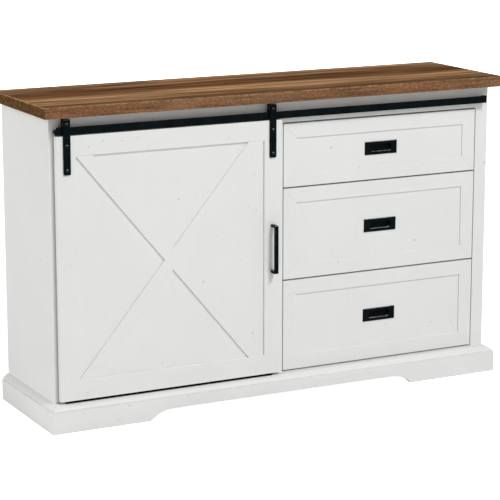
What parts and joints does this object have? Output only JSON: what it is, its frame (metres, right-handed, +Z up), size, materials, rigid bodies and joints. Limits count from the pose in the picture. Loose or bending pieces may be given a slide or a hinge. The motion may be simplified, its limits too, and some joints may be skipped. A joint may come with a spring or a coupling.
{
  "type": "sideboard buffet",
  "caption": "Farmhouse sideboard: a sliding barn door with an X brace over a shelved compartment, a stack of drawers beside it, a wood top and an arched plinth.",
  "frame": {"origin": "middle of the footprint on the floor, at the base of the bounding box", "axes": "+Z up, the front faces -Y, +X to the right of someone facing the front"},
  "size_m": [1.35, 0.376, 0.84],
  "materials": {
    "wood_top": "satin oak with dark streaks",
    "white_laminate": "off-white paint with a faint brushed grain",
    "white_inner": "matte white laminate",
    "back_board": "matte painted hardboard",
    "raw_timber": "planed pine, unfinished",
    "bright_steel": "zinc plated",
    "black_steel": "matte black powder coat",
    "black_nylon": "moulded nylon",
    "black_felt": "pressed felt"
  },
  "bodies": {
    "cabinet": {"top_board": "wood_top", "side_panel_left": "white_laminate", "side_panel_right": "white_laminate", "centre_divider": "white_inner", "deck_panel": "white_laminate", "back_panel": "back_board", "face_stile_left": "white_laminate", "face_stile_right": "white_laminate", "face_stile_centre": "white_laminate", "face_rail": "white_laminate", "back_rail": "white_inner", "plinth_front": "white_laminate", "plinth_left": "white_laminate", "plinth_right": "white_laminate", "plinth_back": "white_inner", "base_moulding": "white_laminate", "timber_cleats": "raw_timber", "shelf": "white_inner", "shelf_pins": "bright_steel", "cam_locks": "bright_steel", "track_bar": "black_steel", "track_fixings": "black_steel", "track_end_stops": "black_steel", "runner_cabinet_members": "bright_steel", "leg_socket": "black_nylon"},
    "door": {"door_panel": "white_laminate", "door_stile_left": "white_laminate", "door_stile_right": "white_laminate", "door_rail_top": "white_laminate", "door_rail_bottom": "white_laminate", "door_brace_long": "white_laminate", "door_brace_halves": "white_laminate", "door_guide_pins": "black_nylon", "door_dust_strip": "black_felt", "door_handle": "black_steel", "door_fasteners": "black_steel", "hanger_left": "black_steel", "hanger_right": "black_steel"},
    "roller_left": {"roller_left": "black_nylon"},
    "roller_right": {"roller_right": "black_nylon"},
    "drawer_top": {"drawer_top_front_frame": "white_laminate", "drawer_top_front_panel": "white_laminate", "drawer_top_pull": "black_steel", "drawer_top_box": "white_inner", "drawer_top_runner_inner": "bright_steel"},
    "runner_top": {"drawer_top_runner_middle": "bright_steel"},
    "drawer_middle": {"drawer_middle_front_frame": "white_laminate", "drawer_middle_front_panel": "white_laminate", "drawer_middle_pull": "black_steel", "drawer_middle_box": "white_inner", "drawer_middle_runner_inner": "bright_steel"},
    "runner_middle": {"drawer_middle_runner_middle": "bright_steel"},
    "drawer_bottom": {"drawer_bottom_front_frame": "white_laminate", "drawer_bottom_front_panel": "white_laminate", "drawer_bottom_pull": "black_steel", "drawer_bottom_box": "white_inner", "drawer_bottom_runner_inner": "bright_steel"},
    "runner_bottom": {"drawer_bottom_runner_middle": "bright_steel"},
    "leveller_pad": {"leveller_pad": "black_nylon"},
    "leveller_stem": {"leveller_stem": "bright_steel"}
  },
  "joints": [
    {"name": "door_slide", "type": "slide", "parent": "cabinet", "child": "door", "axis": [-1, 0, 0], "range_m": [-0.644, 0]},
    {"name": "roller_left_spin", "type": "hinge", "parent": "door", "child": "roller_left", "pos_m": [-0.6125, -0.1585, 0.7938], "axis": [0, 1, 0], "continuous": true},
    {"name": "roller_right_spin", "type": "hinge", "parent": "door", "child": "roller_right", "pos_m": [-0.032, -0.1585, 0.7938], "axis": [0, 1, 0], "continuous": true},
    {"name": "drawer_top_slide", "type": "slide", "parent": "cabinet", "child": "drawer_top", "axis": [0, -1, 0], "range_m": [0, 0.28]},
    {"name": "runner_top_slide", "type": "slide", "parent": "cabinet", "child": "runner_top", "axis": [0, -1, 0], "range_m": [0, 0.14]},
    {"name": "drawer_middle_slide", "type": "slide", "parent": "cabinet", "child": "drawer_middle", "axis": [0, -1, 0], "range_m": [0, 0.28]},
    {"name": "runner_middle_slide", "type": "slide", "parent": "cabinet", "child": "runner_middle", "axis": [0, -1, 0], "range_m": [0, 0.14]},
    {"name": "drawer_bottom_slide", "type": "slide", "parent": "cabinet", "child": "drawer_bottom", "axis": [0, -1, 0], "range_m": [0, 0.28]},
    {"name": "runner_bottom_slide", "type": "slide", "parent": "cabinet", "child": "runner_bottom", "axis": [0, -1, 0], "range_m": [0, 0.14]},
    {"name": "leveller_lift", "type": "slide", "parent": "cabinet", "child": "leveller_pad", "axis": [0, 0, 1], "range_m": [0, 0.008]},
    {"name": "leveller_turn", "type": "hinge", "parent": "leveller_pad", "child": "leveller_stem", "pos_m": [0.001, 0.022, 0.02], "axis": [0, 0, 1], "range_deg": [0, 1440]}
  ],
  "couplings": [
    {"joint": "roller_left_spin", "follows": "door_slide", "rad_per_m": -125},
    {"joint": "roller_right_spin", "follows": "door_slide", "rad_per_m": -125},
    {"joint": "runner_top_slide", "follows": "drawer_top_slide", "ratio": 0.5},
    {"joint": "runner_middle_slide", "follows": "drawer_middle_slide", "ratio": 0.5},
    {"joint": "runner_bottom_slide", "follows": "drawer_bottom_slide", "ratio": 0.5},
    {"joint": "leveller_lift", "follows": "leveller_turn", "m_per_rad": 0.000318}
  ]
}
